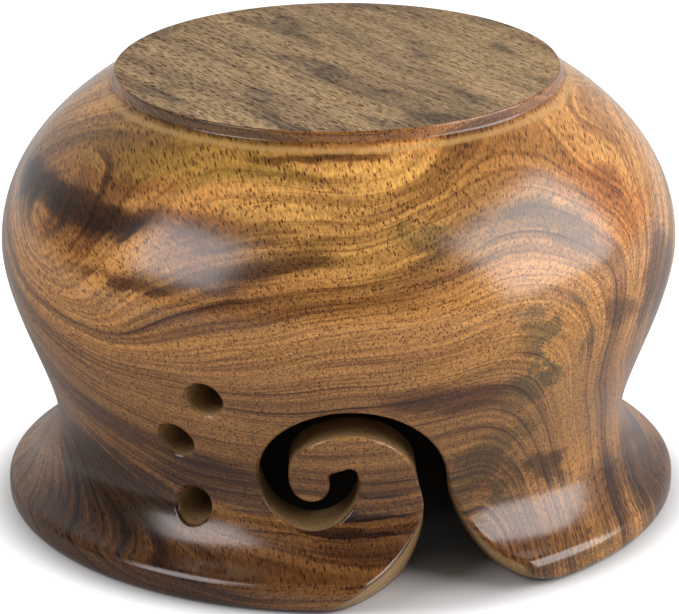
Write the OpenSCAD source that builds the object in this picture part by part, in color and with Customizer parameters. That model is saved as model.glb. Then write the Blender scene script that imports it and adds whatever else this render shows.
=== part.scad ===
// Turned wooden yarn bowl, one block of wood, modelled as it stands on its rim with the foot
// uppermost. In use it stands on the foot: the ball of yarn lies in the hollow, the strand
// runs out through the scroll slot, and the three drilled holes hold needles or a second strand.
// The rim lies on z = 0, the bowl's axis is the Z axis, and the slot faces -Y.

/* [Bowl] */
// Diameter over the flared rim
rim_d = 152; // [146:0.5:158]
// Height from the rim to the face of the foot
bowl_h = 100.6; // [96:0.2:108]
// Diameter of the belly at its widest
belly_d = 151.8; // [146:0.2:158]
// Height of the widest ring of the belly above the rim
belly_z = 61; // [57:0.5:65]
// Diameter of the neck between rim and belly
neck_d = 129; // [126:0.5:132]
// Height of the neck above the rim
neck_z = 21.4; // [20:0.2:23]
// How far the curve runs straight up out of the neck before it swings out
neck_ease = 8.7; // [5:0.1:12]
// How far the belly's curve stays upright below the widest ring
belly_ease_low = 12.4; // [8:0.1:16]
// How far the belly's curve stays upright above the widest ring
belly_ease_high = 8.5; // [5:0.1:12]

/* [Rim] */
// Radius of the hollow sweep from neck to rim
flare_r = 15; // [14:0.1:16]
// Radius that rounds the upper edge of the rim
lip_top_r = 2.9; // [2.4:0.1:3.4]
// Radius that rounds the lower edge of the rim
lip_low_r = 3; // [2:0.1:3.4]

/* [Foot] */
// Diameter of the flat face of the foot
foot_d = 99.6; // [94:0.2:101]
// Height of the foot above the shoulder
foot_h = 3.4; // [2.8:0.1:5]
// Diameter where the shoulder meets the foot
shoulder_d = 104; // [102.5:0.5:108]
// Slope of the shoulder where it meets the foot, from upright, in degrees
shoulder_slope = 57.7; // [52:0.1:62]
// How far the shoulder runs straight before it rounds into the belly
shoulder_run = 24.8; // [18:0.1:28]
// Radius that softens the edge of the foot's face
foot_edge_r = 0.4; // [0.2:0.1:0.8]
// How far the foot's side leans outwards below its face
foot_lean = 0.5; // [0.2:0.1:0.8]

/* [Hollow] */
// Thickness of the wall at the neck
neck_wall = 12; // [10:0.2:14]
// Thickness of the wall at the belly
belly_wall = 13; // [10:0.2:15]
// Thickness of the bottom, under the foot
base_wall = 13; // [10:0.2:16]
// Diameter of the mouth
mouth_d = 107; // [104:0.5:112]
// Radius that rounds the inner edge of the mouth
mouth_edge_r = 2.5; // [1.5:0.1:3.5]
// Radius of the flat floor of the hollow
floor_r = 18; // [10:1:24]
// How far the floor's curve runs on level before it turns down
floor_ease = 32.4; // [26:0.2:36]
// How far the hollow's wall stays upright from its widest ring towards the floor
wall_ease = 13.8; // [10:0.2:18]

/* [Scroll slot] */
// Width of the slot
slot_w = 6.4; // [5:0.1:7.2]
// Place of the middle of the scroll's eye across the bowl
eye_x = -6.3; // [-9:0.1:-4]
// Height of the middle of the scroll's eye above the rim
eye_z = 25.6; // [24.6:0.1:28]
// Heading of the slot's middle line where it starts beside the eye, from +X, in degrees
eye_heading = -70; // [-75:1:-65]
// Radius of the slot's middle line round the eye
eye_r = 7.1; // [6.8:0.1:8]
// Angle the slot turns through round the eye
eye_turn = 115; // [110:1:120]
// Radius of the next turn, the outside of the curl
curl_r = 7.9; // [7:0.1:9]
// Angle of that turn
curl_turn = 66; // [62:1:70]
// Radius of the turn that climbs to the crown
crown_r = 12.9; // [12:0.1:14]
// Angle of that turn
crown_turn = 68; // [64:1:72]
// Radius of the turn that comes down to the throat
sweep_r = 18; // [17:0.1:19]
// Angle of that turn
sweep_turn = 118; // [114:1:121]
// Length of the throat from the last turn towards the mouth
throat_l = 13.5; // [12:0.1:15]
// Angle the throat still turns through on its way to the mouth
throat_turn = 5; // [3:0.5:7]
// How much the throat narrows half way down
throat_pinch = 0.5; // [0:0.1:0.9]
// How much the throat widens at its lower end
throat_splay = 0.3; // [0:0.1:0.6]
// Height above the rim at which the straight cut ends, inside the tilted one
throat_end_z = 9.4; // [8:0.2:10.6]
// How much the straight cut narrows on each side by there
throat_end_inset = 0.9; // [0.4:0.1:1.2]
// Radius of the two corners of the slot's blind end
slot_end_r = 1.6; // [0.8:0.1:2.2]

/* [Mouth of the slot] */
// Tilt of the cut that shapes the tongue through the flared rim, in degrees
tongue_tilt = 38; // [34:1:42]
// Angle round the rim, from the front, where the rounded tip of the tongue starts
tongue_angle = -4.5; // [-8:0.5:-3]
// How far the tongue's side runs on before it rounds
tongue_side_run = 4.2; // [3:0.1:8]
// How far the rim runs on before it rounds into the tongue's tip
tongue_rim_run = 13.2; // [11:0.1:18]
// Tilt of the cut that shapes the corner facing the tongue, in degrees
heel_tilt = 26; // [22:1:30]
// Angle round the rim, from the front, where that rounded corner ends
heel_angle = 42.5; // [40:0.5:45]
// How far the slot's side runs on before it rounds into that corner
heel_side_run = 5.7; // [4:0.1:9]
// How far the rim runs on before it rounds into that corner
heel_rim_run = 16.9; // [12:0.1:19]
// How far the two cuts of the mouth reach past the middle of the throat
mouth_lap = 1; // [0.5:0.1:1.5]

/* [Needle holes] */
// Diameter of the needle holes
needle_d = 8; // [5:0.5:9]
// Height of the upper hole above the rim
upper_hole_z = 46.5; // [44:0.5:50]
// Angle of the upper hole from the front, in degrees
upper_hole_angle = -23.5; // [-27:0.5:-20]
// Height of the middle hole above the rim
middle_hole_z = 34; // [31:0.5:36]
// Angle of the middle hole from the front, in degrees
middle_hole_angle = -31.5; // [-36:0.5:-28]
// Height of the lower hole above the rim
lower_hole_z = 18; // [16:0.5:20]
// Angle of the lower hole from the front, in degrees
lower_hole_angle = -29.5; // [-34:0.5:-27]

/* [Hidden] */
wood = [0.62, 0.38, 0.18];

// How many pieces each curve is drawn with
curve_steps = 14;
round_steps = 5;
throat_steps = 6;
turn_step = 8;

rim_r = rim_d / 2;
neck_r = neck_d / 2;
belly_r = belly_d / 2;
foot_r = foot_d / 2;
mouth_r = mouth_d / 2;
shoulder_z = bowl_h - foot_h;

// Points of a curve with two handles, without its first point
function curve(a, b, c, d, steps) = [for (k = [1:steps]) let (t = k / steps)
    pow(1 - t, 3) * a + 3 * pow(1 - t, 2) * t * b + 3 * (1 - t) * t * t * c + t * t * t * d];

// Points of an arc round c, from angle a0 to a1, both ends kept
function arc(c, r, a0, a1, steps) = [for (k = [0:steps]) let (a = a0 + (a1 - a0) * k / steps)
    c + r * [cos(a), sin(a)]];

// Angle at which the hollow sweep above the rim runs into the rounded lip, both being tangent
lip_angle = acos((neck_r + flare_r + lip_top_r - rim_r) / (flare_r + lip_top_r));
lip_z = neck_z - (flare_r + lip_top_r) * sin(lip_angle);

// Outside of the bowl, as [radius, height], from the rim up to the foot's face
shoulder_way = [-sin(shoulder_slope), cos(shoulder_slope)];
shoulder_end = [shoulder_d / 2, shoulder_z];
foot_waist = [foot_r + foot_lean, bowl_h - foot_h / 2];
cove_corner = shoulder_end + shoulder_way * (shoulder_end[0] - foot_waist[0]) / sin(shoulder_slope);
outside = concat(
    arc([rim_r - lip_low_r, lip_low_r], lip_low_r, -90, 0, round_steps),
    arc([rim_r - lip_top_r, lip_z], lip_top_r, 0, lip_angle, round_steps),
    [for (k = [1:curve_steps]) let (a = lip_angle * (1 - k / curve_steps))
        [neck_r + flare_r * (1 - cos(a)), neck_z - flare_r * sin(a)]],
    curve([neck_r, neck_z], [neck_r, neck_z + neck_ease],
        [belly_r, belly_z - belly_ease_low], [belly_r, belly_z], curve_steps),
    curve([belly_r, belly_z], [belly_r, belly_z + belly_ease_high],
        shoulder_end - shoulder_way * shoulder_run, shoulder_end, curve_steps),
    curve(shoulder_end, cove_corner, cove_corner, foot_waist, round_steps),
    arc([foot_r - foot_edge_r, bowl_h - foot_edge_r], foot_edge_r, 0, 90, round_steps));

// Inside of the bowl, from the floor of the hollow down to the mouth
hollow_z = bowl_h - base_wall;
inner_neck = [neck_r - neck_wall, neck_z];
inner_belly = [belly_r - belly_wall, belly_z];
inside = concat(
    [[0, hollow_z], [floor_r, hollow_z]],
    curve([floor_r, hollow_z], [floor_r + floor_ease, hollow_z],
        inner_belly + [0, wall_ease], inner_belly, curve_steps),
    curve(inner_belly, inner_belly - [0, belly_ease_low],
        inner_neck + [0, neck_ease], inner_neck, curve_steps),
    arc([mouth_r + mouth_edge_r, mouth_edge_r], mouth_edge_r, 180, 270, round_steps));

// Middle line of the slot, as [point, heading], a chain of tangent arcs that all turn one way
turns = [[eye_r, eye_turn], [curl_r, curl_turn], [crown_r, crown_turn], [sweep_r, sweep_turn]];
function beside(p, heading, d) = p + d * [-sin(heading), cos(heading)];
function turned(p, heading, r, a) = beside(beside(p, heading, -r), heading - a, r);
function line_at(i) = i == 0 ? [beside([eye_x, eye_z], eye_heading, eye_r), eye_heading]
    : let (s = line_at(i - 1)) [turned(s[0], s[1], turns[i - 1][0], turns[i - 1][1]), s[1] - turns[i - 1][1]];
throat_r = throat_l / throat_turn * 180 / PI;

// Stations along the slot: [point, heading, width]
function swell(u) = pow(sin(180 * u), 2);
stations = concat(
    [for (i = [0:len(turns) - 1]) let (s = line_at(i), n = ceil(turns[i][1] / turn_step))
        for (k = [0:n - 1]) let (a = turns[i][1] * k / n)
            [turned(s[0], s[1], turns[i][0], a), s[1] - a, slot_w]],
    [for (k = [0:throat_steps]) let (s = line_at(len(turns)), u = k / throat_steps)
        [turned(s[0], s[1], throat_r, throat_turn * u), s[1] - throat_turn * u,
            slot_w - throat_pinch * swell(u) + throat_splay * u * u]]);

// The slot's outline across the bowl and up, with its blind end's corners rounded
blind = stations[0];
blind_side = slot_w / 2 - slot_end_r;
low = stations[len(stations) - 1];
low_left = beside(low[0], low[1], -low[2] / 2);
low_right = beside(low[0], low[1], low[2] / 2);
slot_outline = concat(
    arc(beside(blind[0], blind[1], -blind_side), slot_end_r, blind[1] - 90, blind[1] - 180, round_steps),
    arc(beside(blind[0], blind[1], blind_side), slot_end_r, blind[1] - 180, blind[1] - 270, round_steps),
    [for (k = [1:len(stations) - 1]) beside(stations[k][0], stations[k][1], stations[k][2] / 2)],
    [[low_right[0] - throat_end_inset, throat_end_z], [low_left[0] + throat_end_inset, throat_end_z]],
    [for (k = [len(stations) - 1:-1:1]) beside(stations[k][0], stations[k][1], -stations[k][2] / 2)]);

// The mouth is cut along two tilted directions, one for the tongue and one for the corner facing
// it, the heel. Each outline is drawn across its own direction, with x across the bowl and y up the
// tilt. It starts at the side of the throat and ends where it brushes the outline of the rim.
function up_tilt(y, z, tilt) = y * sin(tilt) + z * cos(tilt);
tube_r = rim_r - lip_low_r;
function rim_way(a, tilt) = let (v = [cos(a), sin(a) * sin(tilt)]) v / norm(v);
function rim_edge(a, tilt) = let (way = rim_way(a, tilt))
    [tube_r * sin(a), up_tilt(-tube_r * cos(a), lip_low_r, tilt)] + lip_low_r * [way[1], -way[0]];
function side_start(s, side, tilt) = let (p = beside(s[0], s[1], side * s[2] / 2))
    [p[0], up_tilt(-sqrt(pow(neck_r, 2) - pow(p[0], 2)), p[1], tilt)];
function side_way(s) = [cos(s[1]), sin(s[1])];
tongue_station = stations[len(stations) - 1 - round(throat_steps / 2)];
heel_station = stations[len(stations) - 1 - round(throat_steps * 2 / 3)];
tongue_top = side_start(tongue_station, -1, tongue_tilt);
heel_top = side_start(heel_station, 1, heel_tilt);
tongue_end = rim_edge(tongue_angle, tongue_tilt);
heel_end = rim_edge(heel_angle, heel_tilt);
tongue_rim_way = rim_way(tongue_angle, tongue_tilt);
heel_rim_way = rim_way(heel_angle, heel_tilt);
mouth_x = (tongue_top[0] + heel_top[0]) / 2;
tongue_outline = concat(
    [tongue_top],
    curve(tongue_top, tongue_top + side_way(tongue_station) * tongue_side_run,
        tongue_end + tongue_rim_way * tongue_rim_run, tongue_end, curve_steps),
    [tongue_end - tongue_rim_way * rim_r, [mouth_x + mouth_lap, -rim_d],
        [mouth_x + mouth_lap, tongue_top[1]]]);
heel_outline = concat(
    [heel_top],
    curve(heel_top, heel_top + side_way(heel_station) * heel_side_run,
        heel_end - heel_rim_way * heel_rim_run, heel_end, curve_steps),
    [heel_end + heel_rim_way * rim_r, [mouth_x - mouth_lap, -rim_d],
        [mouth_x - mouth_lap, heel_top[1]]]);

module turned_body() {
    rotate_extrude($fn = 180) polygon(concat(outside, [[0, bowl_h]], inside));
}

module scroll_cut() {
    rotate([90, 0, 0]) translate([0, 0, mouth_r / 2]) linear_extrude(rim_r) polygon(slot_outline);
}

module mouth_cut(tilt, outline) {
    rotate([90 - tilt, 0, 0]) linear_extrude(rim_r + bowl_h) polygon(outline);
}

module needle_hole(angle, z) {
    rotate([0, 0, angle]) translate([0, -mouth_r / 2, z]) rotate([90, 0, 0])
        cylinder(h = rim_r, d = needle_d, $fn = 48);
}

module bowl() {
    color(wood) difference() {
        turned_body();
        scroll_cut();
        mouth_cut(tongue_tilt, tongue_outline);
        mouth_cut(heel_tilt, heel_outline);
        needle_hole(upper_hole_angle, upper_hole_z);
        needle_hole(middle_hole_angle, middle_hole_z);
        needle_hole(lower_hole_angle, lower_hole_z);
    }
}

bowl();
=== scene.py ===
"""A hand-turned wooden yarn bowl, standing on its flared rim with the foot uppermost.

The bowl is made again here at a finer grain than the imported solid, from the same sizes: one turned
outline is spun round the axis, and the scroll slot and the three needle holes are cut out of it by
cutters that flare where they meet the surface, so that every cut edge comes out softly rounded.
"""
from math import acos, ceil, cos, degrees, hypot, pi, radians, sin, sqrt

import bmesh
import bpy
import numpy as np
from mathutils import Matrix, Vector
from mathutils.bvhtree import BVHTree


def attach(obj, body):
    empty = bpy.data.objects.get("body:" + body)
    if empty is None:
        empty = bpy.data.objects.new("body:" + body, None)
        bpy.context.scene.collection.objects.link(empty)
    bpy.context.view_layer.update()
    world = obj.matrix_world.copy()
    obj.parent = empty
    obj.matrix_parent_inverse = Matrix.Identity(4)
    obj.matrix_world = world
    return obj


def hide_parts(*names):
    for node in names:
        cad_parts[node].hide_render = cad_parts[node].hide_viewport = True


MM = 0.001

# Sizes of the turned body, in millimetres, as in the part's source
RIM_R = 76.0
BOWL_H = 100.6
BELLY_R = 75.9
BELLY_Z = 61.0
NECK_R = 64.5
NECK_Z = 21.4
NECK_EASE = 8.7
BELLY_EASE_LOW = 12.4
BELLY_EASE_HIGH = 8.5
FLARE_R = 15.0
LIP_TOP_R = 2.9
LIP_LOW_R = 3.0
FOOT_R = 49.8
FOOT_H = 3.4
SHOULDER_R = 52.0
SHOULDER_SLOPE = radians(57.7)
SHOULDER_RUN = 24.8
SHOULDER_TOP_Z = BOWL_H - FOOT_H
FOOT_EDGE_R = 0.4
FOOT_LEAN = 0.5
NECK_WALL = 12.0
BELLY_WALL = 13.0
BASE_WALL = 13.0
MOUTH_R = 53.5
MOUTH_EDGE_R = 2.5
FLOOR_R = 18.0
FLOOR_EASE = 32.4
WALL_EASE = 13.8

# Sizes of the scroll slot, in millimetres and degrees
SLOT_W = 6.4
EYE = (-6.3, 25.6)
EYE_HEADING = -70.0
TURNS = ((7.1, 115.0), (7.9, 66.0), (12.9, 68.0), (18.0, 118.0))
THROAT_L = 13.5
THROAT_TURN = 5.0
THROAT_PINCH = 0.5
THROAT_SPLAY = 0.3
SLOT_END_R = 1.6
# The throat's arc has this many steps, of which the first are kept, and it lies right of this place.
# Its sides start to tilt below this height.
THROAT_STEPS = 18
THROAT_STEPS_KEPT = 10
THROAT_X = 8.0
BLEND_TOP_Z = 30.0

# The two sides of the slot's mouth, the tongue and the heel that faces it: tilt of the cut, angle
# round the rim where it ends, how far the slot's side and the rim run on into the curve between
# them, and the roundness of its edge there
TONGUE = (38.0, -4.5, 4.2, 13.2, 0.9)
HEEL = (26.0, 42.5, 5.7, 16.9, 2.3)

# The three needle holes: angle round the bowl from the front, height
NEEDLE_R = 4.0
NEEDLE_HOLES = ((-23.5, 46.5), (-31.5, 34.0), (-29.5, 18.0))

# How softly the cut edges are rounded, in millimetres
SLOT_EDGE_R = 0.7
HOLE_EDGE_R = 1.1

# How far the slot's cutter stands out of the wall, how far it does so past the flare, over which drop
# that grows, and how far past the rim and below the bowl it runs, all in millimetres
STAND_OUT = 6
STAND_OUT_LOW = 16
STAND_OUT_DROP = 14
PAST_THE_RIM = 40
FAR_BELOW = -110

# How finely things are made: steps round the bowl, down the flare and round a needle hole, degrees
# from one place to the next on the slot's arcs, and a cutter's rings round an edge and across the wall
ROUND_STEPS = 288
FLARE_STEPS = 16
HOLE_STEPS = 72
TURN_STEP = 3.0
EDGE_RINGS = 8
WALL_RINGS = 5

# For the cutters, in metres: how far back on each line the search for the wall starts, how far it
# reaches, the hop past the wall's first side, and how far a rounded edge runs on into the air
SEARCH_FROM = 0.13
SEARCH_REACH = 0.12
HOP = 2e-5
RUN_ON = 0.0006
# Rounds in which the ball that rounds an edge sinks to the surface, the least slope it is sunk with,
# and the share of the rounding that the rings cover
SINK_ROUNDS = 10
LEAST_SLOPE = 0.25
EDGE_SHARE = 0.94
# Places that are set against the turned outline at a time
BLOCK = 4000


def bezier(a, b, c, d, steps):
    """Points of a curve with two handles, without its first point."""
    points = []
    for k in range(1, steps + 1):
        t = k / steps
        w = ((1 - t) ** 3, 3 * (1 - t) ** 2 * t, 3 * (1 - t) * t * t, t ** 3)
        points.append(tuple(sum(f * p[i] for f, p in zip(w, (a, b, c, d))) for i in (0, 1)))
    return points


def arc(centre, r, a0, a1, steps):
    """Points of an arc, both ends kept. Angles in degrees."""
    angles = [radians(a0 + (a1 - a0) * k / steps) for k in range(steps + 1)]
    return [(centre[0] + r * cos(a), centre[1] + r * sin(a)) for a in angles]


def turned_outline():
    """(radius, height) round the wood, from the middle of the foot, over the rim, to the hollow."""
    lip_angle = degrees(acos((NECK_R + FLARE_R + LIP_TOP_R - RIM_R) / (FLARE_R + LIP_TOP_R)))
    lip_z = NECK_Z - (FLARE_R + LIP_TOP_R) * sin(radians(lip_angle))
    way = (-sin(SHOULDER_SLOPE), cos(SHOULDER_SLOPE))
    shoulder = (SHOULDER_R, SHOULDER_TOP_Z)
    waist = (FOOT_R + FOOT_LEAN, BOWL_H - FOOT_H / 2)
    back = (shoulder[0] - waist[0]) / sin(SHOULDER_SLOPE)
    cove = (shoulder[0] + way[0] * back, shoulder[1] + way[1] * back)
    run_on = (shoulder[0] - way[0] * SHOULDER_RUN, shoulder[1] - way[1] * SHOULDER_RUN)
    hollow_z = BOWL_H - BASE_WALL
    inner_belly = (BELLY_R - BELLY_WALL, BELLY_Z)
    inner_neck = (NECK_R - NECK_WALL, NECK_Z)
    points = [((FOOT_R - FOOT_EDGE_R) * k / 12, BOWL_H) for k in range(12)]
    points += arc((FOOT_R - FOOT_EDGE_R, BOWL_H - FOOT_EDGE_R), FOOT_EDGE_R, 90, 0, 6)
    points += [waist]
    points += bezier(waist, cove, cove, shoulder, 8)
    points += bezier(shoulder, run_on, (BELLY_R, BELLY_Z + BELLY_EASE_HIGH), (BELLY_R, BELLY_Z), 26)
    points += bezier((BELLY_R, BELLY_Z), (BELLY_R, BELLY_Z - BELLY_EASE_LOW),
                     (NECK_R, NECK_Z + NECK_EASE), (NECK_R, NECK_Z), 26)
    for k in range(1, FLARE_STEPS + 1):
        a = radians(lip_angle * k / FLARE_STEPS)
        points.append((NECK_R + FLARE_R * (1 - cos(a)), NECK_Z - FLARE_R * sin(a)))
    points += arc((RIM_R - LIP_TOP_R, lip_z), LIP_TOP_R, lip_angle, 0, 8)[1:]
    points += arc((RIM_R - LIP_LOW_R, LIP_LOW_R), LIP_LOW_R, 0, -90, 8)
    flat = RIM_R - LIP_LOW_R - MOUTH_R - MOUTH_EDGE_R
    points += [(RIM_R - LIP_LOW_R - flat * k / 6, 0.0) for k in range(1, 6)]
    points += arc((MOUTH_R + MOUTH_EDGE_R, MOUTH_EDGE_R), MOUTH_EDGE_R, 270, 180, 8)
    points += [(MOUTH_R + (inner_neck[0] - MOUTH_R) * k / 6,
                MOUTH_EDGE_R + (inner_neck[1] - MOUTH_EDGE_R) * k / 6) for k in range(1, 7)]
    points += bezier(inner_neck, (inner_neck[0], inner_neck[1] + NECK_EASE),
                     (inner_belly[0], inner_belly[1] - BELLY_EASE_LOW), inner_belly, 22)
    points += bezier(inner_belly, (inner_belly[0], inner_belly[1] + WALL_EASE),
                     (FLOOR_R + FLOOR_EASE, hollow_z), (FLOOR_R, hollow_z), 22)
    points += [(FLOOR_R * (1 - k / 4), hollow_z) for k in range(1, 5)]
    return points


def turned_body():
    """The turned wood before any cut, as a bmesh in metres."""
    wood = bmesh.new()
    verts = [wood.verts.new((r * MM, 0, z * MM)) for r, z in turned_outline()]
    edges = [wood.edges.new(pair) for pair in zip(verts, verts[1:])]
    bmesh.ops.spin(wood, geom=verts + edges, axis=(0, 0, 1), cent=(0, 0, 0),
                   angle=2 * pi, steps=ROUND_STEPS, use_merge=True)
    bmesh.ops.remove_doubles(wood, verts=wood.verts, dist=1e-7)
    bmesh.ops.recalc_face_normals(wood, faces=wood.faces)
    return wood


def turned_surface(places):
    """For places near the turned surface: its outward normals, from its own smooth slope, and how far
    outside it they lie."""
    line = np.array(turned_outline()) * MM
    keep = np.r_[True, np.hypot(*np.diff(line, axis=0).T) > 1e-9]
    line = line[keep]
    step = np.diff(line, axis=0)
    length = np.hypot(step[:, 0], step[:, 1])
    out = np.c_[-step[:, 1], step[:, 0]] / length[:, None]
    corner = np.vstack([out[:1], out[:-1] / length[:-1, None] + out[1:] / length[1:, None], out[-1:]])
    corner /= np.hypot(corner[:, 0], corner[:, 1])[:, None]
    around = np.arctan2(places[:, 1], places[:, 0])
    flat = np.c_[np.hypot(places[:, 0], places[:, 1]), places[:, 2]]
    normals = np.zeros((len(places), 3))
    heights = np.zeros(len(places))
    for first in range(0, len(places), BLOCK):
        block = flat[first:first + BLOCK]
        along = ((block[:, None] - line[:-1][None]) * step[None]).sum(2) / length ** 2
        along = np.clip(along, 0, 1)
        gap = block[:, None] - line[:-1][None] - along[..., None] * step[None]
        best = np.hypot(gap[..., 0], gap[..., 1]).argmin(1)
        rows = np.arange(len(block))
        t = along[rows, best][:, None]
        n = corner[best] * (1 - t) + corner[best + 1] * t
        n /= np.hypot(n[:, 0], n[:, 1])[:, None]
        a = around[first:first + BLOCK]
        normals[first:first + BLOCK] = np.c_[n[:, 0] * np.cos(a), n[:, 0] * np.sin(a), n[:, 1]]
        heights[first:first + BLOCK] = (gap[rows, best] * n).sum(1)
    return normals, heights


def beside(p, heading, d):
    """The place at a distance to the left of a place, seen along its heading."""
    a = radians(heading)
    return (p[0] - d * sin(a), p[1] + d * cos(a))


def turned(p, heading, r, a):
    """The place reached by turning right through an angle on an arc."""
    return beside(beside(p, heading, -r), heading - a, r)


def slot_stations():
    """(point, heading, width) along the slot's middle line, from the eye to half way down the throat."""
    at, heading, stations = beside(EYE, EYE_HEADING, TURNS[0][0]), EYE_HEADING, []
    for r, turn in TURNS:
        n = ceil(turn / TURN_STEP)
        for k in range(n):
            a = turn * k / n
            stations.append((turned(at, heading, r, a), heading - a, SLOT_W))
        at, heading = turned(at, heading, r, turn), heading - turn
    throat_r = THROAT_L / radians(THROAT_TURN)
    for k in range(THROAT_STEPS_KEPT):
        u = k / THROAT_STEPS
        width = SLOT_W - THROAT_PINCH * sin(pi * u) ** 2 + THROAT_SPLAY * u * u
        turn = THROAT_TURN * u
        stations.append((turned(at, heading, throat_r, turn), heading - turn, width))
    return stations


def outline_radius(z):
    """Radius of the outside at a height, between the flare and the belly, in millimetres."""
    line = [p for p in turned_outline() if p[0] > NECK_R - 1]
    for (r0, z0), (r1, z1) in zip(line, line[1:]):
        if z1 <= z <= z0:
            return r0 + (r1 - r0) * (z0 - z) / max(z0 - z1, 1e-9)
    return RIM_R


def slot_side(stations, sense, spec, curve_steps):
    """One side of the slot from the eye to the rim, as (x, w, tilt, stand-out, edge radius): w is the
    height across the cut, which runs down and inwards by tilt degrees. The tilt grows down the throat.
    The last two points leave the bowl along the rim's tangent, clear of the wood."""
    full_tilt, angle, side_run, rim_run, end_edge_r = spec
    places = [beside(p, h, sense * width / 2) for p, h, width in stations]
    low = places[-1][1]
    side = []
    for x, z in places:
        swing = min(max((BLEND_TOP_Z - z) / (BLEND_TOP_Z - low), 0), 1) if x > THROAT_X else 0
        tilt = full_tilt * swing * swing * (3 - 2 * swing)
        y = -sqrt(outline_radius(z) ** 2 - x * x)
        w = y * sin(radians(tilt)) + z * cos(radians(tilt))
        side.append((x, w, tilt, STAND_OUT, SLOT_EDGE_R))
    t = radians(full_tilt)
    tube = RIM_R - LIP_LOW_R
    rim = (cos(radians(angle)), sin(radians(angle)) * sin(t))
    rim = (rim[0] / hypot(*rim), rim[1] / hypot(*rim))
    drop = -tube * cos(radians(angle)) * sin(t) + LIP_LOW_R * cos(t)
    end = (tube * sin(radians(angle)) + LIP_LOW_R * rim[1], drop - LIP_LOW_R * rim[0])
    heading = radians(stations[-1][1])
    start = side[-1][:2]
    handle = (start[0] + cos(heading) * side_run, start[1] + sin(heading) * side_run)
    rim_handle = (end[0] - sense * rim[0] * rim_run, end[1] - sense * rim[1] * rim_run)
    for k, (x, w) in enumerate(bezier(start, handle, rim_handle, end, curve_steps), 1):
        u = k / curve_steps
        edge_r = SLOT_EDGE_R + (end_edge_r - SLOT_EDGE_R) * u * u * (3 - 2 * u)
        growth = min((start[1] - w) / STAND_OUT_DROP, 1)
        stand_out = STAND_OUT + (STAND_OUT_LOW - STAND_OUT) * growth
        side.append((x, w, full_tilt, stand_out, edge_r))
    past = (end[0] + sense * rim[0] * PAST_THE_RIM, end[1] + sense * rim[1] * PAST_THE_RIM)
    side.append((*past, full_tilt, STAND_OUT_LOW, 0))
    side.append((past[0], FAR_BELOW, full_tilt, STAND_OUT_LOW, 0))
    return side


def slot_outline():
    """The slot's outline, round its blind end and down both sides to the rim. The list goes round the
    opening with the wood on its right."""
    stations = slot_stations()
    blind, heading, _ = stations[0]
    side = SLOT_W / 2 - SLOT_END_R
    end = arc(beside(blind, heading, -side), SLOT_END_R, heading - 90, heading - 180, 6)
    end += arc(beside(blind, heading, side), SLOT_END_R, heading - 180, heading - 270, 6)
    right = slot_side(stations[1:-3], 1, HEEL, curve_steps=33)
    left = slot_side(stations[1:], -1, TONGUE, curve_steps=30)
    return [(x, z, 0, STAND_OUT, SLOT_EDGE_R) for x, z in end] + right + left[::-1]


def cut_lines(outline):
    """Turns the outline into points and directions through the wall, in metres, each with how far the
    cutter stands out of the wall and the radius that rounds the edge it leaves."""
    lines = []
    for x, w, tilt, stand_out, edge_r in outline:
        t = radians(tilt)
        way = Vector((0, cos(t), -sin(t)))
        lines.append((Vector((x, w * sin(t), w * cos(t))) * MM, way, stand_out * MM, edge_r * MM))
    return lines


def wall_hits(lines, body):
    """Where each line enters the wall and leaves it, in metres along the line, and which lines miss the
    wood. A line that misses takes the places of the nearest line that doesn't."""
    count = len(lines)
    tree = BVHTree.FromBMesh(body)
    depth = -SEARCH_FROM
    hits = []
    for base, way, _, _ in lines:
        spot, _, _, far = tree.ray_cast(base + way * depth, way)
        if spot is None or far > SEARCH_REACH:
            hits.append(None)
            continue
        _, _, _, wall = tree.ray_cast(spot + way * HOP, way)
        hits.append((depth + far, depth + far + HOP + wall))
    known = [i for i in range(count) if hits[i]]
    missed = [hit is None for hit in hits]
    for i in range(count):
        if missed[i]:
            hits[i] = hits[min(known, key=lambda k: min((k - i) % count, (i - k) % count))]
    return hits, missed


def ways_aside(lines):
    """For each line, the direction across it that leads from the opening into the wood beside it."""
    count = len(lines)
    bases = [line[0] for line in lines]
    area = sum(bases[i - 1].x * bases[i].z - bases[i].x * bases[i - 1].z for i in range(count))
    asides = []
    for i in range(count):
        along = (bases[(i + 1) % count] - bases[i - 1]).normalized()
        asides.append(along.cross(lines[i][1]).normalized() * (-1 if area > 0 else 1))
    return asides


def rolling_ball(lines, hits, radii, asides):
    """A ball that rolls in the wood along the cut's outer edge, then along its inner edge, and touches both
    the cut and the turned surface: its middles, the surface's normals there, and the sense of the lines."""
    aside = np.array(asides)
    bases = np.array([line[0] for line in lines])
    ways = np.array([line[1] for line in lines])
    half_wall = np.array([(hit[1] - hit[0]) / 2 for hit in hits])
    sides = []
    for end, sense in ((0, 1), (1, -1)):
        spots = bases + ways * np.array([hit[end] for hit in hits])[:, None]
        sink = np.zeros(len(lines))
        for _ in range(SINK_ROUNDS):
            middles = spots + aside * radii[:, None] + ways * (sense * sink)[:, None]
            normals, heights = turned_surface(middles)
            slope = np.maximum(-(normals * ways).sum(1) * sense, LEAST_SLOPE)
            sink = np.clip(sink + (heights + radii) / slope, 0, half_wall)
        middles = spots + aside * radii[:, None] + ways * (sense * sink)[:, None]
        sides.append((middles, turned_surface(middles)[0], sense))
    return sides


def edge_steps(middle, normal, aside, r, inward, stand_out):
    """Places on one line of a cutter: outside the wood, down to the surface, and round the ball to the
    side of the cut."""
    angle = acos(max(-1, min(1, -aside.dot(normal))))
    steps = []
    for k in range(EDGE_RINGS):
        u = EDGE_SHARE * (EDGE_RINGS - 1 - k) / (EDGE_RINGS - 1)
        point = -aside
        if angle > 1e-3:
            point = (-aside * sin((1 - u) * angle) + normal * sin(u * angle)).normalized()
        steps.append(middle + point * r)
    flare = steps[0] - steps[1]
    past = flare.normalized() if flare.length > 1e-7 else -inward
    return [steps[0] + past * RUN_ON - inward * stand_out, steps[0] + past * RUN_ON] + steps


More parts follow.
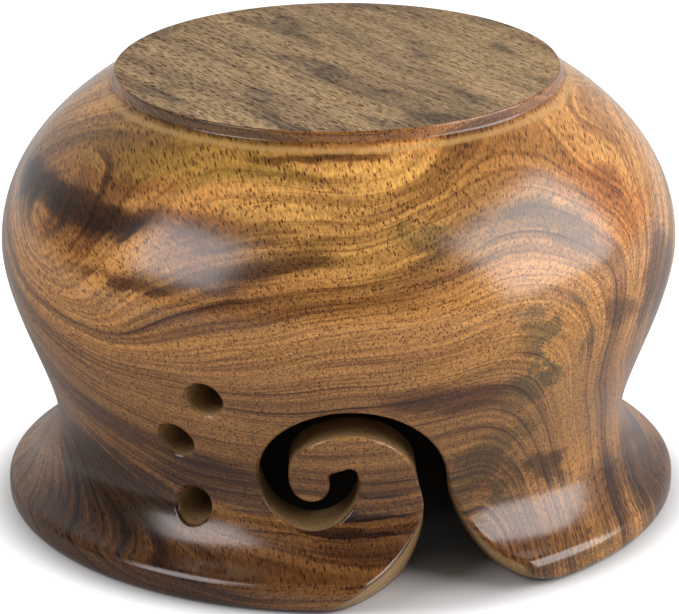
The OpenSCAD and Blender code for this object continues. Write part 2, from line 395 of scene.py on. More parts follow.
def skin(rings, first, apron):
    """A closed shape through rings of points. Its two ends are closed by rungs from side to side, starting
    at the first point, and the apron's points, which stay clear of the wood, by one face."""
    count = len(rings[0])
    shape = bmesh.new()
    loop = [shape.verts.new(p) for p in rings[0]]
    edges = [shape.edges.new((loop[k - 1], loop[k])) for k in range(count)]
    ends = [loop]
    for ring in rings[1:]:
        grown = bmesh.ops.extrude_edge_only(shape, edges=edges)["geom"]
        fresh = {v for v in grown if isinstance(v, bmesh.types.BMVert)}
        edges = [e for e in grown if isinstance(e, bmesh.types.BMEdge) and set(e.verts) <= fresh]
        loop = [next(e.other_vert(v) for e in v.link_edges if e.other_vert(v) in fresh) for v in loop]
        for v, place in zip(loop, ring):
            v.co = place
    ends.append(loop)
    for loop in ends:
        pairs = [(loop[(first + k) % count], loop[(first - 1 - k) % count])
                 for k in range((count - apron) // 2)]
        for (a, b), (c, d) in zip(pairs, pairs[1:]):
            shape.faces.new((a, c, d, b))
        if apron:
            start = first + len(pairs) - 1
            shape.faces.new([loop[(start + k) % count] for k in range(apron + 2)])
    bmesh.ops.recalc_face_normals(shape, faces=shape.faces)
    if shape.calc_volume(signed=True) < 0:
        bmesh.ops.reverse_faces(shape, faces=shape.faces)
    for face in shape.faces:
        face.material_index = 1
    return shape


def cutter(name, lines, body, first=0, apron=0):
    """A closed cutter through the wall along the lines, flared where it meets the surface, as a ball
    rolling along the edge would round it."""
    hits, missed = wall_hits(lines, body)
    asides = ways_aside(lines)
    radii = np.array([0 if miss else line[3] for line, miss in zip(lines, missed)])
    sides = rolling_ball(lines, hits, radii, asides)
    rings = [[] for _ in range(2 * EDGE_RINGS + WALL_RINGS + 4)]
    for i, (_, way, stand_out, _) in enumerate(lines):
        outer, inner = (edge_steps(Vector(middles[i]), Vector(normals[i]), asides[i], float(radii[i]),
                                   way * sense, stand_out) for middles, normals, sense in sides)
        wall = [outer[-1].lerp(inner[-1], k / (WALL_RINGS + 1)) for k in range(1, WALL_RINGS + 1)]
        for ring, point in zip(rings, outer + wall + inner[::-1]):
            ring.append(point)
    return to_object(name, skin(rings, first, apron))


def to_object(name, shape):
    """Puts a finished bmesh into the scene as an object."""
    mesh = bpy.data.meshes.new(name)
    shape.to_mesh(mesh)
    shape.free()
    piece = bpy.data.objects.new(name, mesh)
    bpy.context.scene.collection.objects.link(piece)
    return piece


def needle_lines(angle, z):
    """Lines through the wall round one drilled hole."""
    a = radians(angle)
    out = Vector((sin(a), -cos(a), 0))
    side = Vector((cos(a), sin(a), 0))
    lines = []
    for k in range(HOLE_STEPS):
        t = 2 * pi * k / HOLE_STEPS
        base = (side * cos(t) + Vector((0, 0, 1)) * sin(t)) * NEEDLE_R * MM + Vector((0, 0, z * MM))
        lines.append((base, -out, STAND_OUT * MM, HOLE_EDGE_R * MM))
    return lines


def cut_bowl():
    """The finished bowl: the turned body less the slot and the needle holes."""
    solid = turned_body()
    # The slot's rungs start in the middle of its blind end, and its last two places on either side are
    # the apron
    cutters = [cutter("slot_cutter", cut_lines(slot_outline()), solid, first=7, apron=4)]
    for angle, z in NEEDLE_HOLES:
        cutters.append(cutter("needle_cutter", needle_lines(angle, z), solid))
    bowl = to_object("yarn_bowl", solid)
    # Two empty material places keep the faces that the cutters leave apart from the turned ones
    for shape in [bowl] + cutters:
        shape.data.materials.append(None)
        shape.data.materials.append(None)
    for tool in cutters:
        cut = bowl.modifiers.new("cut", "BOOLEAN")
        cut.operation = "DIFFERENCE"
        cut.solver = "MANIFOLD"
        cut.object = tool
    graph = bpy.context.evaluated_depsgraph_get()
    cut_mesh = bpy.data.meshes.new_from_object(bowl.evaluated_get(graph))
    bowl.modifiers.clear()
    bowl.data = cut_mesh
    for tool in cutters:
        bpy.data.objects.remove(tool)
    tidy = bmesh.new()
    tidy.from_mesh(cut_mesh)
    bmesh.ops.remove_doubles(tidy, verts=tidy.verts, dist=2e-7)
    bmesh.ops.dissolve_degenerate(tidy, dist=2e-7, edges=tidy.edges)
    # The turned surface is shaded by its outline's own slope, and the cut faces by their neighbours
    normals, heights = turned_surface(np.array([v.co for v in tidy.verts]))
    depth = tidy.verts.layers.float.new("cut_depth_mm")
    for v in tidy.verts:
        v[depth] = max(-heights[v.index] / MM, 0)
        if all(f.material_index == 1 for f in v.link_faces):
            total = Vector((0, 0, 0))
            for f in v.link_faces:
                total += f.normal * f.calc_area()
            normals[v.index] = total.normalized() if total.length > 0 else v.normal
    for f in tidy.faces:
        f.smooth = True
        middle = f.calc_center_median() / MM
        on_foot = middle.z > BOWL_H - 0.01 and hypot(middle.x, middle.y) < FOOT_R - FOOT_EDGE_R
        f.material_index = 1 if on_foot else 0
    cut_mesh.materials.clear()
    tidy.to_mesh(cut_mesh)
    tidy.free()
    cut_mesh.normals_split_custom_set_from_vertices([tuple(n) for n in normals])
    return bowl


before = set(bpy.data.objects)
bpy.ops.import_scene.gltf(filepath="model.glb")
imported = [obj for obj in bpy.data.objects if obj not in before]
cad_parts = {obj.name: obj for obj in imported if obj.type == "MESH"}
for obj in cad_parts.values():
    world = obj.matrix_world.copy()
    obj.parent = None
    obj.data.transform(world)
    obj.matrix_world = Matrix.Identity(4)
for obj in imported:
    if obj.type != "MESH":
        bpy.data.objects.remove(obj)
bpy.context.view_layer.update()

bowl = cut_bowl()
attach(bowl, "root")
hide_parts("bowl")


# Directions of the wood in the bowl: along the fibres, up through the growth layers, and across both.
# The sizes of the grain and of the stains are in millimetres.
FIBRES = (0.20, -0.90, -0.38)
LAYERS_UP = (0.0, -0.386, 0.919)
ACROSS = (0.978, 0.182, 0.081)
# The layers lie flat over a core that runs along the fibres, and fold down over both its sides
CORE_LEFT = -5.0
CORE_RIGHT = 20.0
CORE_HEIGHT = 20.0
# How far the layers wander and ripple, and how far one growth line lies from the next, evenly and not
WANDER = 8.0
RIPPLE = 1.8
RING_GAP = 3.1
RING_UNEVENNESS = 2.6
# Room that a pore has, and the size of the stipple between the pores: across, along and up
PORE_ROOM = (0.56, 2.9, 0.56)
STIPPLE = (0.55, 2.4, 0.55)
# On the foot's face the fibres lie along this direction. The layers there are counted from a place
# this far off, and the handling marks are this long and wide, in metres.
FOOT_FIBRES = (0.55, -0.83, 0.0)
FOOT_LAYERS_FROM = 0.13
MARK_LENGTH = 0.034
MARK_WIDTH = 0.013
# Depth of the pores in metres
PORE_DEPTH = 0.0001

# Stains in the lacquered wood, with painted shade on the neck and painted light on the upper front among
# them: angle round the bowl and height of the middle, half width in degrees, half height, rise per degree,
# strength, and the colour that the wood is multiplied by
SMOKE = (0.13, 0.11, 0.12)
UMBER = (0.20, 0.15, 0.15)
BROWN = (0.36, 0.27, 0.24)
RUSSET = (0.74, 0.46, 0.40)
OLIVE = (0.40, 0.50, 0.56)
STRAW = (0.84, 1.0, 0.72)
GOLD = (1.2, 1.38, 1.3)
TAN = (0.66, 0.60, 0.52)
STAINS_AND_PAINTED_LIGHT = (
    ("smoky_streak", -58, 81, 34, 4.1, 0.0, 0.90, SMOKE),
    ("smoky_streak_blob", -54, 77.5, 12, 4.4, -0.1, 0.65, BROWN),
    ("low_left_streak", -38, 69.8, 11, 1.8, 0.0, 0.80, UMBER),
    ("smoky_streak_core", -56, 81.5, 26, 2.2, 0.0, 0.60, BROWN),
    ("under_left_highlight", -29, 79, 13, 5.0, 0.0, 0.55, BROWN),
    # Partly painted light: golden wood, brightened on the upper front where more light falls
    ("gold_front", 4, 86, 32, 11.0, 0.0, 0.80, GOLD),
    ("right_shoulder_top", 38, 92, 24, 8.0, 0.0, 0.80, TAN),
    ("smoky_streak_tail", -19, 75.5, 20, 3.2, 0.27, 0.78, UMBER),
    ("streak_over_highlight", -29, 82.4, 18, 3.0, 0.10, 0.80, BROWN),
    ("speckled_patch", -46, 87.5, 13, 2.2, 0.05, 0.60, BROWN),
    ("dark_under_foot", 0, 95.3, 22, 1.4, 0.0, 0.85, UMBER),
    ("straw_shoulder", -40, 97, 36, 8.0, 0.0, 0.85, STRAW),
    ("left_flank", -92, 62, 22, 36, 0.0, 0.55, OLIVE),
    # Painted shade on the lower left neck, under the belly
    ("neck_shadow", -52, 19, 24, 8.5, -0.10, 0.90, SMOKE),
    ("neck_haze", -22, 24, 15, 6.0, -0.15, 0.65, UMBER),
    ("neck_haze_upper", -44, 34, 22, 2.4, -0.22, 0.50, BROWN),
    ("flare_left", -52, 3, 40, 9.0, 0.0, 0.70, UMBER),
    ("flare_front", -4, 3, 30, 9.5, 0.0, 0.55, BROWN),
    ("over_the_scroll", 19, 46, 12, 4.4, -0.1, 0.95, BROWN),
    ("tongue", 8, 19, 12, 8.5, 0.0, 0.55, BROWN),
    ("tongue_streak_upper", 8, 22.6, 8, 0.7, -0.02, 0.90, SMOKE),
    ("tongue_streak_middle", 8, 18.6, 9, 0.8, -0.04, 0.90, SMOKE),
    ("tongue_streak_lower", 4, 15.4, 12, 0.7, -0.05, 0.80, SMOKE),
    ("right_belly_streak", 55, 57, 9, 3.2, -0.45, 0.65, UMBER),
    ("right_knot", 46, 22, 7, 4.4, -0.5, 0.80, SMOKE),
    ("right_shoulder", 60, 80, 12, 11, -0.2, 0.65, RUSSET),
    ("right_shoulder_dark", 63, 84, 7, 3.4, -0.2, 0.55, BROWN),
    ("right_cheek", 68, 62, 10, 11.0, -0.3, 0.80, UMBER),
    ("right_flare", 80, 8, 22, 11.0, 0.0, 0.80, UMBER),
    ("heel", 40, 9, 12, 7.0, 0.0, 0.55, BROWN),
    ("right_flare_inner", 59, 12, 14, 6.5, 0.0, 0.65, BROWN),
)
# Cloudy marks with hard, blotchy edges
BLOTCHES = (
    ("right_haze", 37, 53, 13, 15.0, 0.0, 1.0, OLIVE),
    ("right_haze_upper", 42, 80, 12, 7.0, 0.0, 0.70, OLIVE),
    ("right_haze_lower", 31, 27, 12, 12.0, 0.0, 0.80, OLIVE),
    ("front_marks", 16, 84, 5, 4.0, 0.0, 0.60, OLIVE),
    ("right_lip", 38, 2.5, 26, 4.0, 0.0, 0.60, OLIVE),
)


def link(tree, socket, value):
    """Feeds a socket from another socket, or sets it."""
    if isinstance(value, bpy.types.NodeSocket):
        tree.links.new(value, socket)
    else:
        socket.default_value = value


def maths(tree, kind, *values):
    """A number worked out of other numbers."""
    node = tree.nodes.new("ShaderNodeMath")
    node.operation = kind
    for socket, value in zip(node.inputs, values):
        link(tree, socket, value)
    return node.outputs["Value"]


def vector(tree, kind, *values, result="Vector"):
    """A vector, or a number, worked out of vectors."""
    node = tree.nodes.new("ShaderNodeVectorMath")
    node.operation = kind
    for socket, value in zip(node.inputs, values):
        link(tree, socket, value)
    return node.outputs[result]


def scaled(tree, given, factor):
    """A vector times one number."""
    result = vector(tree, "SCALE", given)
    link(tree, result.node.inputs["Scale"], factor)
    return result


def combine(tree, x, y, z):
    """A vector of three numbers."""
    node = tree.nodes.new("ShaderNodeCombineXYZ")
    for socket, value in zip(node.inputs, (x, y, z)):
        link(tree, socket, value)
    return node.outputs["Vector"]


def split(tree, given):
    """The three numbers of a vector."""
    node = tree.nodes.new("ShaderNodeSeparateXYZ")
    link(tree, node.inputs[0], given)
    return node.outputs


def ramp(tree, value, low, high, at_low=0.0, at_high=1.0):
    """Runs smoothly from one value to another while the input goes from low to high."""
    node = tree.nodes.new("ShaderNodeMapRange")
    node.interpolation_type = "SMOOTHSTEP"
    for socket, given in zip(node.inputs, (value, low, high, at_low, at_high)):
        link(tree, socket, given)
    return node.outputs["Result"]


def noise(tree, place, scale, detail=2.0, roughness=0.5, result="Fac"):
    """Soft noise at a place."""
    node = tree.nodes.new("ShaderNodeTexNoise")
    link(tree, node.inputs["Vector"], place)
    link(tree, node.inputs["Scale"], scale)
    link(tree, node.inputs["Detail"], detail)
    link(tree, node.inputs["Roughness"], roughness)
    return node.outputs[result]


def blend(tree, factor, a, b, kind="MIX"):
    """One colour laid over another."""
    node = tree.nodes.new("ShaderNodeMix")
    node.data_type = "RGBA"
    node.blend_type = kind
    for socket, given in zip((node.inputs[0], node.inputs[6], node.inputs[7]), (factor, a, b)):
        link(tree, socket, given)
    return node.outputs[2]


def tinted(tree, colour, amount, tint):
    """A colour multiplied by a tint, as far as the amount goes."""
    return blend(tree, amount, colour, (*tint, 1), "MULTIPLY")


def shader_group(name, inputs, outputs):
    """A new shader node group: inputs as (name, kind, value), outputs as (name, kind)."""
    tree = bpy.data.node_groups.new(name, "ShaderNodeTree")
    for label, kind, value in inputs:
        socket = tree.interface.new_socket(label, in_out="INPUT", socket_type="NodeSocket" + kind)
        if value is not None:
            socket.default_value = value
    for label, kind in outputs:
        tree.interface.new_socket(label, in_out="OUTPUT", socket_type="NodeSocket" + kind)
    return tree, tree.nodes.new("NodeGroupInput").outputs, tree.nodes.new("NodeGroupOutput").inputs


def use(tree, group, **values):
    """A group node in a tree, its inputs given by name with _ for a space."""
    node = tree.nodes.new("ShaderNodeGroup")
    node.node_tree = group
    for label, value in values.items():
        link(tree, node.inputs[label.replace("_", " ")], value)
    return node.outputs


def grain_group():
    """Where a place lies in the wood: across, along the fibres and up, and which growth layer it is in."""
    tree, given, out = shader_group(
        "wood_grain",
        [("Place", "Vector", None), ("Waviness", "Float", 1.0)],
        [("Grain Place", "Vector"), ("Layer", "Float")])
    place = scaled(tree, given["Place"], 1 / MM)
    wander = noise(tree, place, 0.02, 1.0, 0.5, "Color")
    wander = vector(tree, "SUBTRACT", wander, (0.5, 0.5, 0.5))
    wander = scaled(tree, wander, maths(tree, "MULTIPLY", given["Waviness"], WANDER))
    ripple = noise(tree, vector(tree, "MULTIPLY", place, (0.6, 0.6, 1)), 0.07, 1.0, 0.5, "Color")
    ripple = vector(tree, "SUBTRACT", ripple, (0.5, 0.5, 0.5))
    ripple = scaled(tree, ripple, maths(tree, "MULTIPLY", given["Waviness"], RIPPLE))
    wavy = vector(tree, "ADD", place, vector(tree, "ADD", wander, ripple))
    x = vector(tree, "DOT_PRODUCT", wavy, ACROSS, result="Value")
    up = vector(tree, "DOT_PRODUCT", wavy, LAYERS_UP, result="Value")
    beyond_right = maths(tree, "MAXIMUM", maths(tree, "SUBTRACT", x, CORE_RIGHT), 0)
    beyond_left = maths(tree, "MAXIMUM", maths(tree, "SUBTRACT", CORE_LEFT, x), 0)
    right = maths(tree, "MULTIPLY", beyond_right, ramp(tree, up, 50, 88, 2.2, 1.35))
    left = maths(tree, "MULTIPLY", beyond_left, ramp(tree, up, 45, 80, 0, 1.14))
    height = maths(tree, "SUBTRACT", up, CORE_HEIGHT)
    squares = [maths(tree, "MULTIPLY", part, part) for part in (right, left, height)]
    square = maths(tree, "ADD", maths(tree, "ADD", squares[0], squares[1]), squares[2])
    link(tree, out["Layer"], maths(tree, "SQRT", square))
    straight = vector(tree, "ADD", place, vector(tree, "MULTIPLY", ripple, (0.4, 0.4, 0.4)))
    parts = [vector(tree, "DOT_PRODUCT", straight, axis, result="Value")
             for axis in (ACROSS, FIBRES, LAYERS_UP)]
    link(tree, out["Grain Place"], combine(tree, *parts))
    return tree


def figure_group(grain):
    """The wood's figure: growth layers shading from pale to deep, fine dark lines, pores and stipple."""
    tree, given, out = shader_group(
        "wood_figure",
        [("Place", "Vector", None),
         ("Pale", "Color", (0.5, 0.25, 0.07, 1)),
         ("Deep", "Color", (0.2, 0.08, 0.03, 1)),
         ("Lines", "Float", 1.0),
         ("Pores", "Float", 0.95),
         ("Streaks", "Float", 0.6),
         ("Waviness", "Float", 1.0)],
        [("Color", "Color"), ("Pore Mask", "Float"), ("Figure", "Float")])
    wood = use(tree, grain, Place=given["Place"], Waviness=given["Waviness"])
    place, layer = wood["Grain Place"], wood["Layer"]
    x, along, _ = split(tree, place)

    def bands(thickness, drift):
        """A place for noise that lies in layers of a thickness and changes slowly along them."""
        return combine(tree, maths(tree, "DIVIDE", layer, thickness), maths(tree, "DIVIDE", x, drift),
                       maths(tree, "DIVIDE", along, drift))

    # Broad and fine layers, and thin streaks
    broad = ramp(tree, noise(tree, bands(9.0, 100.0), 1.0, 2.0), 0.38, 0.64)
    fine = ramp(tree, noise(tree, bands(1.4, 80.0), 1.0, 3.0, 0.6), 0.38, 0.64)
    figure = maths(tree, "ADD", maths(tree, "MULTIPLY", broad, 0.52), maths(tree, "MULTIPLY", fine, 0.38))
    colour = blend(tree, figure, given["Pale"], given["Deep"])
    thread = ramp(tree, noise(tree, bands(0.55, 40.0), 1.0, 2.0, 0.6), 0.47, 0.63)
    thread = maths(tree, "MULTIPLY", thread, given["Streaks"])
    colour = tinted(tree, colour, thread, (0.42, 0.34, 0.32))
    # Growth lines: each darkens slowly and ends in a sharp dark edge, and some are fainter than others
    unevenness = maths(tree, "MULTIPLY", noise(tree, bands(14.0, 70.0), 1.0, 1.0), RING_UNEVENNESS)
    count = maths(tree, "ADD", maths(tree, "DIVIDE", layer, RING_GAP), unevenness)
    ring = maths(tree, "FRACT", count)
    number = tree.nodes.new("ShaderNodeTexWhiteNoise")
    number.noise_dimensions = "1D"
    link(tree, number.inputs["W"], maths(tree, "FLOOR", count))
    late = maths(tree, "POWER", ramp(tree, ring, 0.45, 0.96), 2.0)
    edge = maths(tree, "MULTIPLY", ramp(tree, ring, 0.86, 0.94), ramp(tree, ring, 0.975, 1.0, 1.0, 0.0))
    strength = maths(tree, "MULTIPLY", ramp(tree, number.outputs["Value"], 0.15, 0.95),
                     ramp(tree, noise(tree, bands(6.0, 24.0), 1.0, 2.0), 0.38, 0.58, 0.1, 1.0))
    strength = maths(tree, "MULTIPLY", strength, given["Lines"])
    late = maths(tree, "MULTIPLY", late, maths(tree, "MULTIPLY", strength, 0.75))
    colour = tinted(tree, colour, late, (0.42, 0.28, 0.22))
    edge = maths(tree, "MULTIPLY", edge, maths(tree, "MULTIPLY", strength, 0.95))
    colour = tinted(tree, colour, edge, (0.30, 0.19, 0.15))

    # Pores, long and of uneven size and darkness, over a fine stipple
    cells = tree.nodes.new("ShaderNodeTexVoronoi")
    link(tree, cells.inputs["Vector"], vector(tree, "DIVIDE", place, PORE_ROOM))
    cells.inputs["Scale"].default_value = 1.0
    size = tree.nodes.new("ShaderNodeSeparateColor")
    link(tree, size.inputs[0], cells.outputs["Color"])
    reach = ramp(tree, size.outputs[0], 0.0, 1.0, 0.27, 0.46)
    pore = maths(tree, "DIVIDE", cells.outputs["Distance"], reach)
    pore = ramp(tree, pore, 0.65, 1.05, 1.0, 0.0)
    pore = maths(tree, "MULTIPLY", pore, ramp(tree, size.outputs[1], 0.0, 0.7, 0.45, 1.0))
    stipple = noise(tree, vector(tree, "DIVIDE", place, STIPPLE), 1.0, 3.0, 0.65)
    shade = ramp(tree, stipple, 0.32, 0.68, 0.70, 1.27)
    colour = blend(tree, 1.0, colour, combine(tree, shade, shade, shade), "MULTIPLY")
    colour = tinted(tree, colour, maths(tree, "MULTIPLY", pore, given["Pores"]), (0.27, 0.17, 0.14))
    link(tree, out["Color"], colour)
    link(tree, out["Pore Mask"], pore)
    link(tree, out["Figure"], figure)
    return tree


def soft_patch_group():
    """A soft patch round the bowl. Round holds the angle, the height and how far the figure draws it in."""
    tree, given, out = shader_group(
        "soft_patch",
        [("Round", "Vector", None),
         ("Middle", "Vector", None),
         ("Half Size", "Vector", None),
         ("Rise", "Float", 0.0)],
        [("Mask", "Float")])
    angle, height, drawn_in = split(tree, vector(tree, "SUBTRACT", given["Round"], given["Middle"]))
    level = maths(tree, "SUBTRACT", height, maths(tree, "MULTIPLY", angle, given["Rise"]))
    off = vector(tree, "DIVIDE", combine(tree, angle, level, 0.0), given["Half Size"])
    far = maths(tree, "ADD", vector(tree, "LENGTH", off, result="Value"), drawn_in)
    link(tree, out["Mask"], ramp(tree, far, 0.5, 1.2, 1.0, 0.0))
    return tree


def round_the_bowl(tree, mm, figure):
    """Angle round the bowl from the front in degrees, height, and how far the figure draws stains in. Angle
    and height are shaken, so that stains look ragged and run out along the grain."""
    shake = noise(tree, vector(tree, "MULTIPLY", mm, (0.05, 0.05, 0.15)), 1.0, 4.0, 0.6, "Color")
    shake = vector(tree, "SUBTRACT", shake, (0.5, 0.5, 0.5))
    shake = vector(tree, "MULTIPLY", shake, (26.0, 26.0, 7.0))
    x, y, z = split(tree, vector(tree, "ADD", mm, shake))
    angle = maths(tree, "ARCTAN2", x, maths(tree, "MULTIPLY", y, -1.0))
    height = maths(tree, "ADD", z, maths(tree, "MULTIPLY", figure, 2.2))
    height = maths(tree, "SUBTRACT", height, 1.1)
    drawn_in = maths(tree, "SUBTRACT", 0.20, maths(tree, "MULTIPLY", figure, 0.6))
    return combine(tree, maths(tree, "DEGREES", angle), height, drawn_in)


def new_material(name):
    """A material, its nodes, its shader, and the place on the piece that it is painted by."""
    material = bpy.data.materials.new(name)
    material.use_nodes = True
    tree = material.node_tree
    shader = tree.nodes["Principled BSDF"]
    place = tree.nodes.new("ShaderNodeTexCoord").outputs["Object"]
    return material, tree, shader, place


def pitted(tree, pore, strength):
    """A normal that sinks into the pores."""
    bump = tree.nodes.new("ShaderNodeBump")
    bump.inputs["Strength"].default_value = strength
    bump.inputs["Distance"].default_value = PORE_DEPTH
    link(tree, bump.inputs["Height"], maths(tree, "SUBTRACT", 1.0, pore))
    return bump.outputs["Normal"]


def lacquered_wood(figure, soft_patch):
    """Golden brown hardwood under a soft gloss, stained in places and with painted shade and light in
    places, paler and duller where it is cut.
    """
    material, tree, shader, place = new_material("lacquered_wood")
    wood = use(tree, figure, Place=place, Pale=(0.68, 0.325, 0.085, 1), Deep=(0.20, 0.077, 0.021, 1))
    colour = wood["Color"]
    mm = scaled(tree, place, 1 / MM)
    around = round_the_bowl(tree, mm, wood["Figure"])
    # Painted shade: the colour darkens from the shoulder down to the neck, where less light falls
    painted_low_shade = ramp(tree, split(tree, around)[1], 34, 88, 0.54, 0.0)
    colour = tinted(tree, colour, painted_low_shade, (0.18, 0.16, 0.18))
    cloud = noise(tree, vector(tree, "DIVIDE", mm, (9.0, 9.0, 8.0)), 1.0, 4.0, 0.6)
    cloud = ramp(tree, cloud, 0.46, 0.53)
    for marks, edge in ((STAINS_AND_PAINTED_LIGHT, 1.0), (BLOTCHES, cloud)):
        for _, angle, z, half_angle, half_z, rise, strength, tint in marks:
            mask = use(tree, soft_patch, Round=around, Middle=(angle, z, 0),
                       Half_Size=(half_angle, half_z, 1), Rise=rise)["Mask"]
            mask = maths(tree, "MULTIPLY", maths(tree, "MULTIPLY", mask, edge), strength)
            colour = tinted(tree, colour, mask, tint)
    # Painted shade darkens the foot's flank, and a painted highlight runs as a pale line where it meets the
    # shoulder
    height = split(tree, mm)[2]
    painted_flank_shade = ramp(tree, height, SHOULDER_TOP_Z + 0.3, SHOULDER_TOP_Z + 1.1, 0.0, 0.8)
    colour = tinted(tree, colour, painted_flank_shade, (0.34, 0.26, 0.20))
    # Painted highlight: a pale line along the cove below the flank
    off_highlight_line = maths(tree, "ABSOLUTE", maths(tree, "SUBTRACT", height, SHOULDER_TOP_Z - 0.1))
    colour = blend(tree, ramp(tree, off_highlight_line, 0.1, 0.7, 0.55, 0.0), colour, (0.52, 0.31, 0.11, 1))
    # Where it is cut, the wood is dull and has less lacquer
    sawn = blend(tree, wood["Figure"], (0.34, 0.22, 0.10, 1), (0.21, 0.128, 0.058, 1))
    sawn = tinted(tree, sawn, maths(tree, "MULTIPLY", wood["Pore Mask"], 0.5), (0.3, 0.25, 0.2))
    depth = tree.nodes.new("ShaderNodeAttribute")
    depth.attribute_name = "cut_depth_mm"
    inside = ramp(tree, depth.outputs["Fac"], 0.25, 1.1)
    link(tree, shader.inputs["Base Color"], blend(tree, inside, colour, sawn))
    smears = noise(tree, place, 60.0, 3.0, 0.6)
    link(tree, shader.inputs["Roughness"], ramp(tree, smears, 0.3, 0.7, 0.46, 0.58))
    coat = maths(tree, "SUBTRACT", 1.0, maths(tree, "MULTIPLY", inside, 0.75))
    link(tree, shader.inputs["Coat Weight"], coat)
    shader.inputs["Coat IOR"].default_value = 1.5
    shader.inputs["Coat Roughness"].default_value = 0.22
    shader.inputs["Specular IOR Level"].default_value = 0.05
    link(tree, shader.inputs["Normal"], pitted(tree, wood["Pore Mask"], 0.35))
    return material


def bare_foot(figure):
    """The flat face of the foot: sanded and left bare, greyish, with handling marks."""
    material, tree, shader, place = new_material("bare_foot")
    along = vector(tree, "DOT_PRODUCT", place, FOOT_FIBRES, result="Value")
    across = (-FOOT_FIBRES[1], FOOT_FIBRES[0], 0)
    aside = vector(tree, "DOT_PRODUCT", place, across, result="Value")
    layers = maths(tree, "ADD", aside, FOOT_LAYERS_FROM)
    laid = vector(tree, "ADD", vector(tree, "MULTIPLY", combine(tree, along, along, along), FIBRES),
                  vector(tree, "MULTIPLY", combine(tree, layers, layers, layers), LAYERS_UP))
    wood = use(tree, figure, Place=laid, Pale=(0.45, 0.31, 0.16, 1), Deep=(0.25, 0.172, 0.10, 1),
               Pores=0.95, Streaks=0.5, Lines=0.35, Waviness=0.5)
    spread = combine(tree, maths(tree, "DIVIDE", along, MARK_LENGTH),
                     maths(tree, "DIVIDE", aside, MARK_WIDTH), 0.0)
    soil = noise(tree, spread, 1.0, 3.0, 0.6)
    marks = ramp(tree, soil, 0.48, 0.66, 0.0, 0.9)
    link(tree, shader.inputs["Base Color"], tinted(tree, wood["Color"], marks, (0.42, 0.45, 0.55)))
    link(tree, shader.inputs["Roughness"], ramp(tree, soil, 0.3, 0.7, 0.62, 0.74))
    shader.inputs["Specular IOR Level"].default_value = 0.15
    link(tree, shader.inputs["Normal"], pitted(tree, wood["Pore Mask"], 0.5))
    return material


figure = figure_group(grain_group())
bowl.data.materials.append(lacquered_wood(figure, soft_patch_group()))
bowl.data.materials.append(bare_foot(figure))


# The place that the lamps look at, in metres
BOWL_MIDDLE = Vector((0, 0, 0.05))


def softbox(name, azimuth, elevation, distance, width, height, strength, colour):
    """A rectangular lamp that looks at the bowl's middle from an azimuth, counted from the front towards
    +X, and an elevation, both in degrees."""
    a, e = radians(azimuth), radians(elevation)
    lamp = bpy.data.lights.new(name, "AREA")
    lamp.shape = "RECTANGLE"
    lamp.size = width
    lamp.size_y = height
    lamp.energy = strength
    lamp.color = colour
    holder = bpy.data.objects.new(name, lamp)
    way = Vector((sin(a) * cos(e), -cos(a) * cos(e), sin(e)))
    holder.location = BOWL_MIDDLE + way * distance
    holder.rotation_euler = (-way).to_track_quat("-Z", "Y").to_euler()
    bpy.context.scene.collection.objects.link(holder)


softbox("left_softbox", -57, 31, 0.9, 0.52, 0.48, 4.6, (1.0, 0.96, 0.97))
softbox("right_softbox", 78, 26, 0.9, 0.84, 0.76, 12.3, (0.99, 0.97, 0.98))

# The world: how bright the room is, how much dimmer it is in the lacquer, and how much brighter than
# the room the backdrop behind the bowl is there. The camera sees it all at full white.
ROOM = 0.3
ROOM_NOT_MIRRORED = 0.27
BACKDROP_MIRRORED = 0.5
world = bpy.data.worlds.new("studio")
bpy.context.scene.world = world
world.use_nodes = True
sky = world.node_tree
background = sky.nodes["Background"]
background.inputs["Color"].default_value = (1.0, 1.0, 1.0, 1)
rays = sky.nodes.new("ShaderNodeLightPath")
heading = split(sky, sky.nodes.new("ShaderNodeTexCoord").outputs["Generated"])[1]
glossy = rays.outputs["Is Glossy Ray"]
backdrop = ramp(sky, heading, 0.1, 0.8, 0.0, BACKDROP_MIRRORED)
mirrored = maths(sky, "SUBTRACT", backdrop, ROOM_NOT_MIRRORED)
room = maths(sky, "ADD", maths(sky, "MULTIPLY", mirrored, glossy), ROOM)
link(sky, background.inputs["Strength"], maths(sky, "MAXIMUM", room, rays.outputs["Is Camera Ray"]))

floor_shape = bmesh.new()
bmesh.ops.create_grid(floor_shape, x_segments=1, y_segments=1, size=3.0)
floor = to_object("studio_floor", floor_shape)
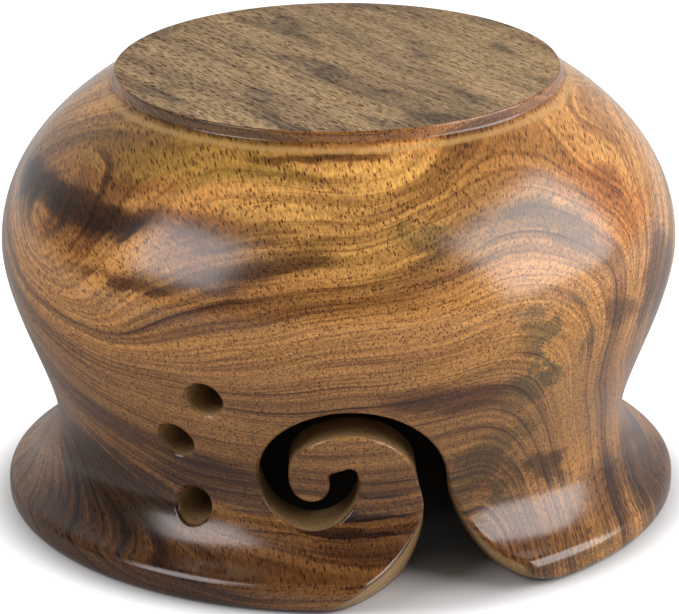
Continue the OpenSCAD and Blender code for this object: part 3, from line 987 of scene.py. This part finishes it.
# Pale paper that keeps the bowl's shadow. To the camera it glows to white from near the rim outwards,
# and in the lacquer it glows only far from the bowl. Distances from the bowl's axis, in metres.
GLOW_FROM = 0.071
GLOW_FULL = 0.087
MIRRORED_GLOW_FROM = 0.25
MIRRORED_GLOW_FULL = 0.7
paper = bpy.data.materials.new("studio_paper")
paper.use_nodes = True
sheet = paper.node_tree
rays = sheet.nodes.new("ShaderNodeLightPath").outputs
reach = vector(sheet, "LENGTH", sheet.nodes.new("ShaderNodeTexCoord").outputs["Object"], result="Value")
near_glow = ramp(sheet, reach, GLOW_FROM, GLOW_FULL, 0.0, 0.85)
glow = maths(sheet, "MULTIPLY", rays["Is Camera Ray"], near_glow)
far_glow = ramp(sheet, reach, MIRRORED_GLOW_FROM, MIRRORED_GLOW_FULL, 0.0, 0.5)
mirrored = maths(sheet, "MAXIMUM", rays["Is Glossy Ray"], rays["Is Transmission Ray"])
mirrored = maths(sheet, "MULTIPLY", mirrored, far_glow)
glow = maths(sheet, "ADD", glow, mirrored)
shader = sheet.nodes["Principled BSDF"]
shader.inputs["Base Color"].default_value = (0.5, 0.5, 0.5, 1)
shader.inputs["Specular IOR Level"].default_value = 0
shader.inputs["Roughness"].default_value = 0.9
shader.inputs["Emission Color"].default_value = (1, 1, 1, 1)
link(sheet, shader.inputs["Emission Strength"], glow)
floor.data.materials.append(paper)

# The camera: where it stands, where it looks, the slight turns that frame the photograph, and the
# photograph's width
CAMERA_AT = Vector((0, -0.91086, 0.37582))
LOOK_DOWN = 19.664
PITCH_PX = 30.39
YAW_PX = 0.59
FOCAL_PX = 4264.86
ROLL = -0.506
PHOTO_WIDTH_PX = 679
SENSOR_MM = 36
camera_data = bpy.data.cameras.new("camera")
camera_data.sensor_width = SENSOR_MM
camera_data.lens = FOCAL_PX * SENSOR_MM / PHOTO_WIDTH_PX
camera_data.clip_end = 20
camera = bpy.data.objects.new("camera", camera_data)
turn = Matrix.Rotation(radians(90 - LOOK_DOWN), 4, "X") @ Matrix.Rotation(radians(ROLL), 4, "Z")
turn = turn @ Matrix.Rotation(-PITCH_PX / FOCAL_PX, 4, "X") @ Matrix.Rotation(-YAW_PX / FOCAL_PX, 4, "Y")
camera.matrix_world = Matrix.Translation(CAMERA_AT) @ turn
bpy.context.scene.collection.objects.link(camera)
bpy.context.scene.camera = camera
bpy.context.scene.view_settings.view_transform = "Standard"
